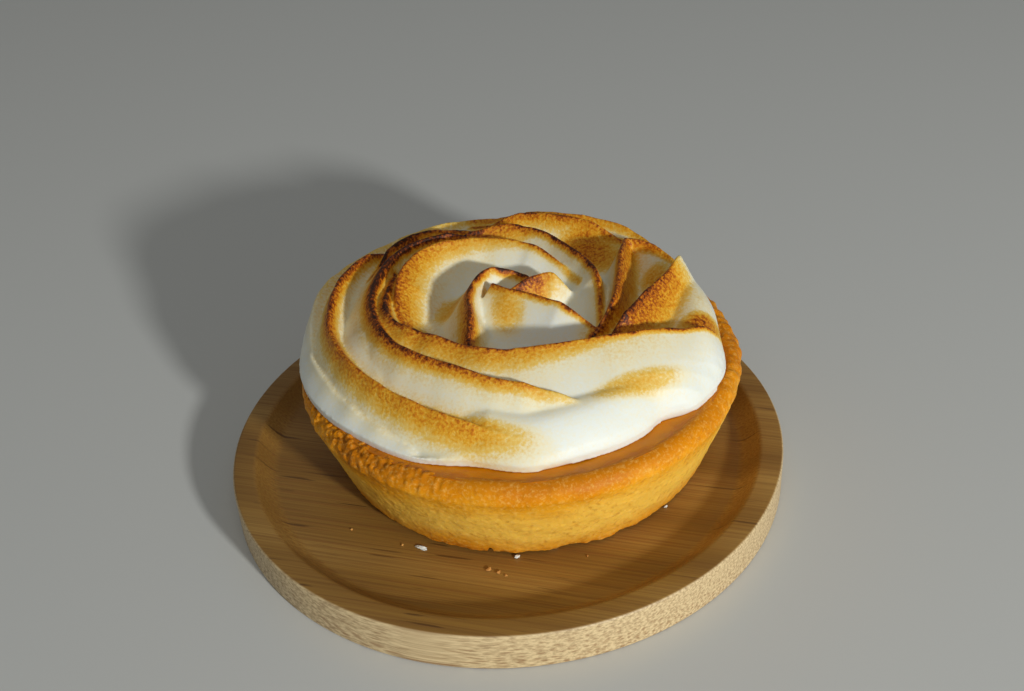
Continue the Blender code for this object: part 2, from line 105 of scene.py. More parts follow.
# Folds, each running anticlockwise seen from above, so that its left flank looks to the middle.
# crest: places it passes over. width: left and right flank. hollow: how scooped (over 1) or puffed
# (under 1) each flank is. lean: how far the crest tips to its left. The other values change
# evenly from start to end: lift over the crown; scorch, the dark line on the crest; tan, the brown
# beside it; left and right, how far the brown spreads down each flank.
FOLDS = dict(
    outer=dict(crest=((6, 38), (-5, 37.8), (-15, 35.6), (-25, 30.8), (-33, 23.2), (-38.2, 13.5), (-40.3, 3),
                      (-39.5, -7)),
               lift=(-3.0, -0.8, 0.0, 0.2, 0.0, -0.8, -5.0), width=(6.0, 3.0), hollow=(0.8, 0.6), lean=0.0,
               scorch=(0.0,), tan=(0.5, 0.3, 0.26, 0.22, 0.0), left=(2.0, 3.0), right=(1.0, 2.0)),
    rope=dict(crest=((-20, 28.5), (-26.8, 24.2), (-31.9, 18.2), (-34.7, 10.4), (-35.8, 3.0), (-35.7, -3.7),
                     (-33.8, -9.7), (-30.3, -16.0), (-25.0, -22.0), (-19.0, -26.8), (-12.5, -30.6),
                     (-5, -33.6),
                     (3, -35.5)),
              lift=(-5.5, 0.0, 0.2, 0.0, -0.2, -0.6, -1.2, -1.9, -3.2), width=(5.0, 4.6),
              hollow=(1.2, 0.9), lean=-0.3,
              scorch=(0.4, 0.5, 0.5, 0.35, 0.1, 0.0, 0.0),
              tan=(0.72, 0.74, 0.72, 0.68, 0.6, 0.56, 0.56, 0.54, 0.1),
              left=(1.4, 1.5, 1.6, 1.9, 2.2, 2.0), right=(1.5, 1.7, 2.1, 2.6, 3.0, 3.0)),
    rope_back=dict(crest=((-4, 31), (-13.7, 31.2), (-18.6, 30.8), (-23.2, 27.4), (-26.6, 22), (-29, 15)),
                   lift=(-3.0, -0.6, -0.2, -0.6, -5.0), width=(3.5, 3.5), hollow=(1.2, 1.2), lean=0.0,
                   scorch=(0.5, 0.9, 0.9, 0.6), tan=(0.6,), left=(1.0,), right=(1.2,)),
    second=dict(crest=((-6, 26.4), (-10.7, 25.7), (-15.9, 24.2), (-21.1, 21.5), (-25, 15.5), (-27.6, 4),
                       (-26, -7), (-20.5, -15.8), (-8, -24.2), (0, -26.9), (7.5, -28.2), (16, -29.4),
                       (24, -30.8)),
                lift=(-3.0, 0.3, 0.5, 0.5, 0.5, 0.2, -0.8, -3.6, -5.0), width=(4.5, 8.0), hollow=(1.5, 1.2),
                lean=-0.3, scorch=(0.6, 0.8, 0.9, 1.0, 1.0, 0.85, 0.65, 0.5, 0.0, 0.0, 0.0),
                tan=(0.7, 0.75, 0.84, 0.84, 0.72, 0.66, 0.6, 0.5, 0.0, 0.0), left=(1.0, 1.0, 1.2, 1.0, 1.0),
                right=(1.2, 1.6, 2.6, 2.4, 1.8, 1.6, 1.2)),
    third=dict(crest=((-24, 14), (-25.5, 4), (-24, -6), (-16, -13), (-4, -18.9), (12, -17.5), (26, -14.5),
                      (38, -10)),
               lift=(-2.0, 0.5, 0.5, 0.5, 0.0), width=(6.0, 12.0), hollow=(1.4, 0.9), lean=0.2,
               scorch=(0.8, 0.9, 0.75, 0.6, 0.6, 0.7), tan=(0.4, 0.62, 0.56, 0.5, 0.4, 0.4),
               left=(1.5, 1.5, 3.5, 4.5, 1.5, 4.0), right=(2.0, 2.4, 4.6, 4.2, 1.2, 0.9)),
    left_petal=dict(crest=((12.5, 7), (9, 13), (2, 18.8), (-8, 21.3), (-17, 18.8), (-22, 11), (-22.8, 1),
                           (-19, -9)),
                    lift=(-4.5, 0.4, 0.8, 0.6, -5.0), width=(10.0, 3.5), hollow=(1.3, 1.3), lean=-0.3,
                    scorch=(0.5, 0.7, 0.4, 0.3, 0.5), tan=(0.2, 0.3, 0.5, 0.62, 0.62),
                    left=(1.0, 1.4, 3.4, 5.0, 4.0), right=(0.7, 0.9, 1.0)),
    back_petal=dict(crest=((15.5, -6), (16, 4), (14, 11), (8.5, 20), (3, 25), (-3, 27), (-10, 25.8),
                           (-16, 21.8)),
                    lift=(-5.0, 0.5, 0.5, 0.5, 0.4, -0.6, -4.5), width=(8.0, 4.5), hollow=(1.4, 1.4),
                    lean=-0.2,
                    scorch=(0.5, 0.8, 0.8, 0.4, 0.3), tan=(0.4, 0.6, 0.5, 0.62, 0.6),
                    left=(1.0, 1.1, 1.2, 5.5, 4.0), right=(1.0, 1.2, 1.2)),
    curl=dict(crest=((3, 10), (-3, 10.5), (-7.5, 7.5), (-9.5, 1), (-9.5, -7), (-10.5, -14)),
              lift=(-2.0, 0.6, 0.6, 0.6, -4.0), width=(5.0, 6.0), hollow=(1.6, 1.6), lean=0.5,
              scorch=(0.85, 0.75, 0.6), tan=(0.6, 0.66, 0.7), left=(0.5, 0.5, 2.2), right=(1.6, 2.2, 3.0)),
    heart_front=dict(crest=((-5, 5), (-2, 2), (2, 0), (8, -4), (14, -8)),
                     lift=(-0.5, 0.0, 0.0, 0.0, -3.5), width=(4.0, 9.0), hollow=(1.4, 1.1), lean=0.5,
                     scorch=(0.7, 0.7, 0.7), tan=(0.5, 0.4, 0.2), left=(0.8,), right=(2.0, 1.4, 0.8)),
    heart_back=dict(crest=((-1, 3), (3, 5.5), (6.5, 6.8), (11, 5.5)),
                    lift=(-1.0, 0.0, 0.0, 0.0, -4.0), width=(4.0, 5.0), hollow=(1.4, 1.4), lean=0.2,
                    scorch=(0.8, 0.6, 0.1), tan=(0.66, 0.64, 0.05), left=(0.8,), right=(3.0, 4.0, 2.0)),
    right_wall=dict(crest=((14, -9.5), (18.5, -4), (20.5, 5), (22, 14), (23.5, 20.5)),
                    lift=(-4.5, 0.3, 0.3, 0.3, -0.5), width=(4.5, 4.5), hollow=(1.5, 1.5), lean=0.2,
                    scorch=(0.6, 0.3, 0.4), tan=(0.72, 0.66, 0.66), left=(1.4, 1.1, 1.2),
                    right=(1.6, 4.0, 3.0)),
    peak=dict(crest=((16, -12.5), (20, -9.5), (25, -2.5), (30, 4.5), (33, 9.5)),
              lift=(-4.5, 0.8, 0.8, 0.8, 1.3), width=(4.5, 7.0), hollow=(1.3, 1.3), lean=0.0,
              scorch=(0.5, 0.7, 0.7, 0.4, 0.0), tan=(0.66, 0.68, 0.66, 0.62, 0.1), left=(1.0,),
              right=(5.0, 6.0, 4.0)),
    peak_back=dict(crest=((33, 11), (31, 15.2), (28, 18.6), (23.8, 20.6)),
                   lift=(-1.8, -1.2, -0.8, -0.6), width=(4.0, 4.0), hollow=(1.4, 1.4), lean=0.0,
                   scorch=(0.2, 0.5, 0.6), tan=(0.4, 0.55, 0.6), left=(1.5,), right=(1.0,)),
    back_inner=dict(crest=((23, 23.5), (17, 27.8), (10, 31.2), (2, 34.4), (-8, 35)),
                    lift=(-3.0, 0.3, 0.3, 0.3, -4.0), width=(4.0, 5.0), hollow=(1.4, 1.4), lean=0.0,
                    scorch=(0.5, 0.6, 0.6), tan=(0.54,), left=(1.6,), right=(1.2,)),
    back_outer=dict(crest=((30, 20), (26, 26), (19.5, 31), (11, 35), (1, 37.3), (-9, 37.2)),
                    lift=(-2.5, 0.0, 0.2, 0.0, -3.0), width=(4.0, 6.0), hollow=(1.3, 1.0), lean=0.0,
                    scorch=(0.2, 0.4, 0.5), tan=(0.46, 0.5, 0.5), left=(1.4,), right=(1.5, 1.8, 2.0)),
    lobe=dict(crest=((-41.5, 4), (-40.2, -5), (-36.4, -14), (-31.6, -21.2), (-26.4, -26.8), (-20.8, -31.6),
                     (-15.4, -35.4)),
              lift=(-6.0, -3.6, -3.0, -2.9, -3.1, -3.9, -7.0), width=(5.2, 5.0), hollow=(0.45, 0.5),
              lean=0.0,
              scorch=(0.0,), tan=(0.0,), left=(1.0,), right=(1.0,)),
)

# Chips out of the foot of the cup: angle and half span in degrees, depth, height.
FOOT_CHIPS = (
    (257.5, 1.0, 1.6, 2.0),
    (236.0, 1.2, 0.8, 1.2),
    (279.0, 6.0, 0.5, 1.6),
    (296.0, 1.2, 0.7, 1.8),
)

# Toasted patches away from the crests, two of them also painted shade: centre, half length, half width,
# turn in degrees, heat.
TOAST_AND_SHADE_PATCHES = (
    ((20, -24.8), 9.5, 2.1, 20, 0.36),
    ((34.6, -7.0), 4.8, 3.0, 24, 0.68),
    ((28, 9.5), 4.5, 3.0, 60, 0.46),
    # Partly toast, partly painted shade: the dark valley at the back right.
    ((16, 23.5), 8.5, 5.0, 130, 0.62),
    ((-35, 16), 12.0, 3.5, 55, 0.22),
    ((-13, 5), 5.0, 3.0, 60, 0.42),
    # Partly toast, partly painted shade: brown laid in the hollow behind the third fold's crest.
    ((4, -13.6), 11.0, 3.0, 0, 0.6),
    ((-1.8, -0.6), 4.6, 3.6, 100, 0.4),
    ((17, -11.5), 5.0, 2.2, 30, 0.55),
)


# Light, in metres, watts and degrees. The key lamp stands low at the front right.
LIGHT_AIM = Vector((0.0, 0.0, 0.02))
LIGHT_DISTANCE = 1.0
KEY_TURN, KEY_RISE, KEY_SIZE, KEY_POWER = -57.0, 18.0, 0.08, 7.6
FILL_TURN, FILL_RISE, FILL_SIZE, FILL_POWER = -100.0, 60.0, 0.9, 1.2
ROOM_GLOW = 0.16

# Camera: where it stands, how far it looks down and how far it is tipped, in degrees.
CAMERA_PLACE = Vector((2.31 * MM, -206.4 * MM, 172.3 * MM))
CAMERA_DOWN = 34.736
CAMERA_TIP = -3.869
CAMERA_LENS = 45.73


# Making pieces ------------------------------------------------------------------------------------

def deselect():
    if bpy.context.mode != "OBJECT":
        bpy.ops.object.mode_set(mode="OBJECT")
    bpy.ops.object.select_all(action="DESELECT")


def make_active(piece):
    deselect()
    piece.select_set(True)
    bpy.context.view_layer.objects.active = piece


def pick_faces(piece, test):
    """In edit mode, selects the faces whose centre passes the test."""
    shape = bmesh.from_edit_mesh(piece.data)
    for face in shape.faces:
        face.select_set(False)
    shape.select_flush(False)
    for face in shape.faces:
        if test(face):
            face.select_set(True)
    bmesh.update_edit_mesh(piece.data)


def apply_all(piece):
    make_active(piece)
    for modifier in list(piece.modifiers):
        bpy.ops.object.modifier_apply(modifier=modifier.name)


def settle(piece, material, angle=40.0):
    """Puts a piece's place into its mesh, shades it, and hands it to the frame."""
    make_active(piece)
    bpy.ops.object.transform_apply(location=True, rotation=True, scale=True)
    bpy.ops.object.shade_smooth_by_angle(angle=math.radians(angle))
    piece.data.materials.clear()
    piece.data.materials.append(material)
    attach(piece, "root")
    return piece


def mesh_piece(name, points, faces):
    mesh = bpy.data.meshes.new(name)
    mesh.from_pydata(points, [], faces)
    mesh.update()
    piece = bpy.data.objects.new(name, mesh)
    bpy.context.scene.collection.objects.link(piece)
    return piece


# Materials ----------------------------------------------------------------------------------------

class Nodes:
    """A material's node tree, with short calls to add a node and join its sockets."""

    def __init__(self, name):
        self.material = bpy.data.materials.new(name)
        self.material.use_nodes = True
        self.tree = self.material.node_tree
        self.shader = self.tree.nodes["Principled BSDF"]

    def add(self, kind, inputs=None, **settings):
        made = self.tree.nodes.new("ShaderNode" + kind)
        for key, value in settings.items():
            setattr(made, key, value)
        for key, value in (inputs or {}).items():
            if isinstance(value, bpy.types.NodeSocket):
                self.tree.links.new(value, made.inputs[key])
            else:
                made.inputs[key].default_value = value
        return made

    def set(self, **values):
        for key, value in values.items():
            socket = self.shader.inputs[key.replace("_", " ")]
            if isinstance(value, bpy.types.NodeSocket):
                self.tree.links.new(value, socket)
            else:
                socket.default_value = value

    def place(self):
        return self.add("TexCoord").outputs["Object"]

    def math(self, operation, a, b=0.0):
        return self.add("Math", {0: a, 1: b}, operation=operation).outputs[0]

    def noise(self, place, scale, detail=3.0, rough=0.5):
        return self.add("TexNoise", {"Vector": place, "Scale": scale, "Detail": detail,
                                     "Roughness": rough}).outputs["Fac"]

    def blend(self, fac, a, b):
        made = self.add("Mix", data_type="RGBA")
        for key, value in ((0, fac), (6, a), (7, b)):
            if isinstance(value, bpy.types.NodeSocket):
                self.tree.links.new(value, made.inputs[key])
            else:
                made.inputs[key].default_value = value
        return made.outputs[2]

    def ramp(self, fac, stops):
        made = self.add("ValToRGB", {"Fac": fac})
        elements = made.color_ramp.elements
        while len(elements) < len(stops):
            elements.new(0.5)
        for element, (position, colour) in zip(elements, stops):
            element.position = position
            element.color = colour
        return made.outputs["Color"]

    def span(self, value, low, high, to_low=0.0, to_high=1.0):
        return self.add("MapRange", {"Value": value, "From Min": low, "From Max": high,
                                     "To Min": to_low, "To Max": to_high}).outputs["Result"]

    def bump(self, height, distance, strength=1.0, under=None):
        made = self.add("Bump", {"Height": height, "Distance": distance, "Strength": strength})
        if under is not None:
            self.tree.links.new(under, made.inputs["Normal"])
        return made.outputs["Normal"]


def rgb(red, green, blue):
    """A colour given as eyes see it (0 to 255), for a shader."""
    return tuple(((c / 255 + 0.055) / 1.055) ** 2.4 for c in (red, green, blue)) + (1.0,)


def bamboo_material():
    m = Nodes("bamboo")
    place = m.place()
    # The fibres lie along X of the turned place. They wander a little, so that cut fibres end.
    turned = m.add("Mapping", {"Vector": place, "Rotation": (0.0, 0.0, math.radians(17.0))}).outputs[0]
    parts = m.add("SeparateXYZ", {"Vector": turned}).outputs
    drift_place = m.add("Mapping", {"Vector": turned, "Scale": (28.0, 220.0, 220.0)}).outputs[0]
    drift = m.span(m.noise(drift_place, 1.0, 2.0), 0.25, 0.75, -0.9 * MM, 0.9 * MM)
    across = m.math("MULTIPLY", m.math("ADD", parts["Y"], m.math("MULTIPLY", drift, 0.5)), 950.0)
    upward = m.math("MULTIPLY", m.math("ADD", parts["Z"], drift), 1000.0)
    section = m.add("CombineXYZ", {"X": across, "Y": upward}).outputs[0]
    cells = m.add("TexVoronoi", {"Vector": section, "Scale": 1.0, "Randomness": 0.7},
                  voronoi_dimensions="2D").outputs["Distance"]
    # Fibre bundles crowd towards the underside, which was the outside of the stem.
    crowd = m.span(parts["Z"], DISH_HEIGHT, 0.0, 0.15, 0.75)
    dot = m.math("MULTIPLY", m.span(cells, 0.14, 0.32, 1.0, 0.0), crowd)
    fibre_place = m.add("Mapping", {"Vector": turned, "Scale": (22.0, 2400.0, 2400.0)}).outputs[0]
    fibre = m.noise(fibre_place, 1.0, 3.0, 0.6)
    line_place = m.add("Mapping", {"Vector": turned, "Scale": (75.0, 1300.0, 60.0)}).outputs[0]
    strip_place = m.add("Mapping", {"Vector": turned, "Scale": (4.0, 90.0, 4.0)}).outputs[0]
    tone = m.noise(strip_place, 1.0, 1.0)
    flat = m.ramp(tone, ((0.3, rgb(130, 95, 38)), (0.5, rgb(152, 114, 50)), (0.7, rgb(174, 136, 68))))
    radius = m.add("VectorMath", {0: m.add("CombineXYZ", {"X": parts["X"], "Y": parts["Y"]}).outputs[0]},
                   operation="LENGTH").outputs["Value"]
    wall = m.span(radius, DISH_RADIUS - 0.35 * MM, DISH_RADIUS - 0.1 * MM)
    base = m.blend(wall, flat, rgb(220, 196, 148))
    line = m.math("MULTIPLY", m.span(m.noise(line_place, 1.0, 1.0), 0.68, 0.76),
                  m.math("SUBTRACT", 1.0, wall))
    fibred = m.blend(m.span(fibre, 0.4, 0.66, 0.0, 0.55), base, rgb(112, 72, 26))
    dotted = m.blend(m.math("MULTIPLY", dot, 0.8), fibred, rgb(132, 84, 38))
    final = m.blend(m.math("MULTIPLY", line, 0.7), dotted, rgb(74, 42, 14))
    m.set(Base_Color=final, Roughness=m.span(fibre, 0.3, 0.7, 0.42, 0.6))
    m.set(Normal=m.bump(fibre, 0.00005, 0.6, m.bump(m.math("ADD", dot, line), 0.00006, 0.5)))
    return m.material


def pastry_material():
    m = Nodes("pastry")
    place = m.place()
    parts = m.add("SeparateXYZ", {"Vector": place}).outputs
    cloud = m.noise(place, 70.0, 3.0)
    level = m.math("ADD", m.span(parts["Z"], FOOT_Z, RIM_Z), m.span(cloud, 0.3, 0.7, -0.12, 0.12))
    bands = m.ramp(level, ((0.0, rgb(208, 126, 14)), (0.12, rgb(230, 158, 36)), (0.34, rgb(248, 196, 76)),
                           (0.60, rgb(248, 192, 70)), (0.78, rgb(238, 166, 34)), (0.9, rgb(222, 140, 6)),
                           (1.0, rgb(208, 124, 1))))
    grain = m.noise(place, 1600.0, 4.0, 0.65)
    crumb = m.noise(place, 760.0, 3.0, 0.6)
    speckled = m.blend(m.span(grain, 0.5, 0.75, 0.0, 0.45), bands, rgb(250, 214, 120))
    browned = m.blend(m.span(crumb, 0.3, 0.46, 0.45, 0.0), speckled, rgb(186, 110, 12))
    # Painted shade: dark brown laid in the hollows between the crumbs of the rim, which is crumbly at the
    # left only.
    crumbly = m.math("MULTIPLY", m.span(level, 0.8, 0.95), m.span(parts["X"], -12.0 * MM, -30.0 * MM))
    painted_hollow_shade = m.math("MULTIPLY", m.span(m.noise(place, 900.0, 2.0), 0.36, 0.54, 0.75, 0.0), crumbly)
    m.set(Base_Color=m.blend(painted_hollow_shade, browned, rgb(128, 70, 8)),
          Roughness=m.span(grain, 0.3, 0.7, 0.4, 0.6))
    m.set(Normal=m.bump(crumb, 0.0001, 0.4, m.bump(grain, 0.0001, 0.8)))
    m.set(Subsurface_Weight=0.15, Subsurface_Scale=0.001, Subsurface_Radius=(1.0, 0.6, 0.25))
    m.set(Specular_IOR_Level=0.14)
    return m.material


def curd_material():
    m = Nodes("lemon_curd")
    place = m.place()
    centred = m.add("Mapping", {"Vector": place, "Location": (-TART.x, -TART.y, 0.0),
                                "Scale": (1.0, 1.0, 0.0)})
    radius = m.add("VectorMath", {0: centred.outputs[0]}, operation="LENGTH").outputs["Value"]
    cloud = m.noise(place, 220.0, 3.0)
    # Amber inside, baked brown where it climbs on to the rim.
    out = m.math("ADD", m.span(radius, RIM_RADIUS - 5.0 * MM, RIM_RADIUS - 1.2 * MM),
                 m.span(cloud, 0.3, 0.7, -0.3, 0.3))
    colour = m.ramp(out, ((0.1, rgb(214, 132, 2)), (0.5, rgb(196, 112, 0)), (0.9, rgb(204, 122, 1))))
    m.set(Base_Color=colour, Roughness=m.span(out, 0.0, 1.0, 0.16, 0.5), Specular_IOR_Level=0.16)
    m.set(Normal=m.bump(m.noise(place, 600.0, 2.0), 0.0001, 0.4))
    m.set(Subsurface_Weight=0.15, Subsurface_Scale=0.0015, Coat_Weight=0.05, Coat_Roughness=0.08)
    return m.material


def meringue_material():
    m = Nodes("meringue")
    place = m.place()
    # The attribute holds the toasting, with painted shade in two hollows.
    heat_and_shade = m.add("Attribute", attribute_name="toast_and_shade").outputs["Fac"]
    grain = m.noise(place, 1700.0, 3.0, 0.6)
    patchy = m.noise(place, 350.0, 3.0, 0.6)
    # The toasting breaks up into grains where it is strong and stays soft where it is faint.
    flecks = m.math("MULTIPLY", m.span(grain, 0.3, 0.7, -0.5, 0.5), m.span(heat_and_shade, 0.1, 0.8, 0.08, 0.5))
    rough_heat_and_shade = m.math("ADD", m.math("MULTIPLY", heat_and_shade, m.span(patchy, 0.3, 0.7, 0.92, 1.08)), flecks)
    colour = m.ramp(rough_heat_and_shade, ((0.0, rgb(232, 236, 226)), (0.12, rgb(238, 229, 192)),
                                 (0.26, rgb(232, 197, 102)), (0.44, rgb(226, 168, 42)),
                                 (0.6, rgb(210, 132, 16)), (0.74, rgb(168, 84, 8)),
                                 (0.9, rgb(98, 42, 7)), (1.0, rgb(56, 24, 7))))
    m.set(Base_Color=colour, Roughness=m.span(patchy, 0.3, 0.7, 0.42, 0.58))
    m.set(Specular_IOR_Level=0.3)
    rough_bump = m.math("MULTIPLY", grain, m.span(heat_and_shade, 0.1, 0.6, 0.05, 1.0))
    m.set(Normal=m.bump(rough_bump, 0.00028, 0.8, m.bump(patchy, 0.0001, 0.25)))
    m.set(Subsurface_Weight=0.2, Subsurface_Scale=0.002, Subsurface_Radius=(1.0, 0.85, 0.65))
    return m.material


def crumb_material():
    m = Nodes("crumb")
    grain = m.noise(m.place(), 900.0, 3.0)
    m.set(Base_Color=m.ramp(grain, ((0.3, rgb(170, 104, 36)), (0.7, rgb(222, 168, 86)))), Roughness=0.7)
    return m.material


# Dish ---------------------------------------------------------------------------------------------

def make_dish():
    deselect()
    bpy.ops.mesh.primitive_cylinder_add(vertices=256, radius=DISH_RADIUS, depth=DISH_HEIGHT,
                                        location=(0.0, 0.0, DISH_HEIGHT / 2))
    dish = bpy.context.object
    dish.name = "bamboo_dish_turned"
    bpy.ops.object.mode_set(mode="EDIT")
    bpy.ops.mesh.select_mode(type="FACE")
    pick_faces(dish, lambda face: face.normal.z > 0.9)
    # Rim, then the cove, which falls in a quarter wave to the floor.
    radius = DISH_RADIUS
    bpy.ops.mesh.inset(thickness=DISH_RIM, depth=0.0)
    radius -= DISH_RIM
    depth = DISH_HEIGHT - DISH_FLOOR
    for i in range(1, DISH_COVE_STEPS + 1):
        size = (radius - DISH_COVE / DISH_COVE_STEPS) / radius
        fall = depth * (math.sin(0.5 * math.pi * i / DISH_COVE_STEPS)
                        - math.sin(0.5 * math.pi * (i - 1) / DISH_COVE_STEPS))
        bpy.ops.mesh.extrude_region_move(TRANSFORM_OT_translate={"value": (0.0, 0.0, -fall)})
        bpy.ops.transform.resize(value=(size, size, 1.0))
        radius *= size
    for _ in range(DISH_FLOOR_RINGS):
        bpy.ops.mesh.inset(thickness=radius * DISH_FLOOR_RING, depth=0.0)
        radius -= radius * DISH_FLOOR_RING
    bpy.ops.object.mode_set(mode="OBJECT")
    edges = dish.modifiers.new("rounded_edges", "BEVEL")
    edges.width = DISH_EDGE
    edges.segments = 4
    edges.limit_method = "ANGLE"
    edges.angle_limit = math.radians(35)
    apply_all(dish)
    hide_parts("bamboo_dish")
    return settle(dish, bamboo_material(), 30.0)


# Pastry cup ---------------------------------------------------------------------------------------

def ruffle(piece, bumps):
    """Moves each corner by the sum of some uneven bumps: size, depth, share at a place, and way."""
    for corner in piece.data.vertices:
        place = corner.co.copy()
        out = Vector((place.x - TART.x, place.y - TART.y, 0.0))
        out = out.normalized() if out.length > 1e-6 else Vector((0.0, 0.0, 0.0))
        for size, depth, share, way in bumps:
            amount = share(place)
            if amount > 0.0:
                if way == "ridge":
                    # Ridges that run in across the rim.
                    arc = math.atan2(out.y, out.x) * RIM_RADIUS / size
                    push = depth * amount * noise.noise(Vector((arc, place.z / (4.0 * size), 0.0)))
                else:
                    push = depth * amount * noise.noise(place / size)
                corner.co += (out if way == "out" else Vector((0.0, 0.0, 1.0))) * push


def make_shell():
    deselect()
    slope = (RIM_RADIUS - FOOT_RADIUS) / (RIM_Z - SHOULDER_HEIGHT - FOOT_Z)
    bpy.ops.mesh.primitive_cylinder_add(vertices=720, radius=FOOT_RADIUS - FOOT_ROUND, depth=0.2 * MM,
                                        location=(TART.x, TART.y, FOOT_Z + 0.1 * MM))
    shell = bpy.context.object
    shell.name = "pastry_cup"
    bpy.ops.object.transform_apply(location=False, rotation=True, scale=True)
    bpy.ops.object.mode_set(mode="EDIT")
    bpy.ops.mesh.select_mode(type="FACE")
    pick_faces(shell, lambda face: face.normal.z > 0.9)
    profile = []
    # Rounded foot, straight wall, a shoulder rounded in to the curd, and down inside below it.
    for k in range(1, 6):
        a = math.radians(-90 + 18 * k)
        profile.append((FOOT_RADIUS - FOOT_ROUND + FOOT_ROUND * math.cos(a),
                        FOOT_Z + FOOT_ROUND + FOOT_ROUND * math.sin(a)))
    shoulder = RIM_Z - SHOULDER_HEIGHT
    for k in range(1, WALL_ROWS + 1):
        z = FOOT_Z + FOOT_ROUND + (shoulder - FOOT_Z - FOOT_ROUND) * k / WALL_ROWS
        profile.append((FOOT_RADIUS + slope * (z - FOOT_Z), z))
    for k in range(1, SHOULDER_ROWS + 1):
        a = math.radians(90.0 * k / SHOULDER_ROWS)
        profile.append((RIM_RADIUS - SHOULDER_WIDTH * (1.0 - math.cos(a)),
                        shoulder + SHOULDER_HEIGHT * math.sin(a)))
    for k in range(1, 5):
        profile.append((RIM_RADIUS - SHOULDER_WIDTH - 0.3 * MM * k, RIM_Z - 0.1 * MM * k))
    for k in range(1, 4):
        profile.append((RIM_RADIUS - SHOULDER_WIDTH - 1.2 * MM - 0.1 * MM * k,
                        RIM_Z - 0.4 * MM - 0.8 * MM * k))
    radius, height = FOOT_RADIUS - FOOT_ROUND, FOOT_Z + 0.2 * MM
    for wide, high in profile:
        bpy.ops.mesh.extrude_region_move(TRANSFORM_OT_translate={"value": (0.0, 0.0, high - height)})
        bpy.ops.transform.resize(value=(wide / radius, wide / radius, 1.0))
        radius, height = wide, high
    bpy.ops.object.mode_set(mode="OBJECT")
    bpy.ops.object.transform_apply(location=True, rotation=True, scale=True)

    def turn_of(place):
        return math.degrees(math.atan2(place.y - TART.y, place.x - TART.x)) % 360.0

    def near_rim(place):
        return max(0.0, min(1.0, (place.z - RIM_Z + 5.0 * MM) / (3.5 * MM)))

    def crumbly(place):
        side = max(0.0, 1.0 - abs(turn_of(place) - 205.0) / 48.0)
        return near_rim(place) * side ** 0.5

    def knobbly(place):
        side = max(0.0, 1.0 - abs((turn_of(place) + 180.0) % 360.0 - 185.0) / 45.0)
        return near_rim(place) * side ** 0.5

    def wall(place):
        return 1.0 if place.z < RIM_Z - 1.0 * MM else 0.3

    def foot(place):
        return max(0.0, 1.0 - (place.z - FOOT_Z) / (2.5 * MM))

    ruffle(shell, ((9.0 * MM, 0.3 * MM, near_rim, "out"), (9.0 * MM, 0.3 * MM, near_rim, "up"),
                   (1.5 * MM, 0.6 * MM, crumbly, "out"), (1.2 * MM, 0.7 * MM, crumbly, "up"),
                   (0.7 * MM, 0.7 * MM, crumbly, "ridge"), (0.8 * MM, 0.5 * MM, crumbly, "up"),
                   (2.4 * MM, 0.7 * MM, knobbly, "out"), (1.8 * MM, 0.5 * MM, knobbly, "up"),
                   (4.0 * MM, 0.5 * MM, foot, "out"), (1.2 * MM, 0.3 * MM, foot, "out"),
                   (0.8 * MM, 0.12 * MM, wall, "out"), (3.0 * MM, 0.14 * MM, wall, "out")))
    for corner in shell.data.vertices:
        place = corner.co
        for angle, half_span, depth, high in FOOT_CHIPS:
            off = abs((turn_of(place) - angle + 180.0) % 360.0 - 180.0) / half_span
            rise = (place.z - FOOT_Z) / (high * MM)
            if off < 1.0 and rise < 1.0:
                out = Vector((place.x - TART.x, place.y - TART.y, 0.0)).normalized()
                corner.co -= out * depth * MM * (1.0 - off ** 2) * (1.0 - max(0.0, rise) ** 3)
    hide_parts("pastry_shell")
    return settle(shell, pastry_material(), 60.0)


# Curd ---------------------------------------------------------------------------------------------

def make_curd():
    deselect()
    reach = RIM_RADIUS - SHOULDER_WIDTH + 0.4 * MM
    bpy.ops.mesh.primitive_cylinder_add(vertices=256, radius=reach, depth=3.0 * MM,
                                        location=(TART.x, TART.y, RIM_Z - 1.55 * MM))
    curd = bpy.context.object
    curd.name = "curd_surface"
    bpy.ops.object.mode_set(mode="EDIT")
    bpy.ops.mesh.select_mode(type="FACE")
    pick_faces(curd, lambda face: face.normal.z > 0.9)
    # The curd dips a little from the rim towards the swirl.
    for k in range(12):
        bpy.ops.mesh.inset(thickness=0.4 * MM, depth=-0.05 * MM)
    bpy.ops.mesh.inset(thickness=8.0 * MM, depth=0.0)
    bpy.ops.object.mode_set(mode="OBJECT")
    bpy.ops.object.transform_apply(location=True, rotation=True, scale=True)

    def top(place):
        return 1.0 if place.z > RIM_Z - 1.2 * MM else 0.0

    ruffle(curd, ((5.0 * MM, 0.25 * MM, top, "up"), (1.8 * MM, 0.12 * MM, top, "up")))
    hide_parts("lemon_filling")
    return settle(curd, curd_material(), 60.0)


# Swirl --------------------------------------------------------------------------------------------

def smooth_line(points, count):
    """Evenly numbered places on a smooth curve through the points (Catmull-Rom)."""
    knots = np.array(points, dtype=float)
    knots = np.vstack([2 * knots[0] - knots[1], knots, 2 * knots[-1] - knots[-2]])
    spans = len(knots) - 3
    at = np.linspace(0.0, spans, count)
    span = np.minimum(at.astype(int), spans - 1)
    t = (at - span)[:, None]
    a, b, c, d = (knots[span + k] for k in range(4))
    return 0.5 * (2 * b + (c - a) * t + (2 * a - 5 * b + 4 * c - d) * t ** 2
                  + (3 * b - a - 3 * c + d) * t ** 3)


def edge_radius(angle):
    degrees = (np.degrees(angle) + 90.0) % 360.0 - 90.0
    angles, radii = np.array(EDGE_RADII, dtype=float).T
    # Averaged a little to each side, so that no corner shows.
    return sum(np.interp((degrees + off + 90.0) % 360.0 - 90.0, angles, radii)
               for off in (-4, -3, -2, -1, 0, 1, 2, 3, 4)) / 9.0


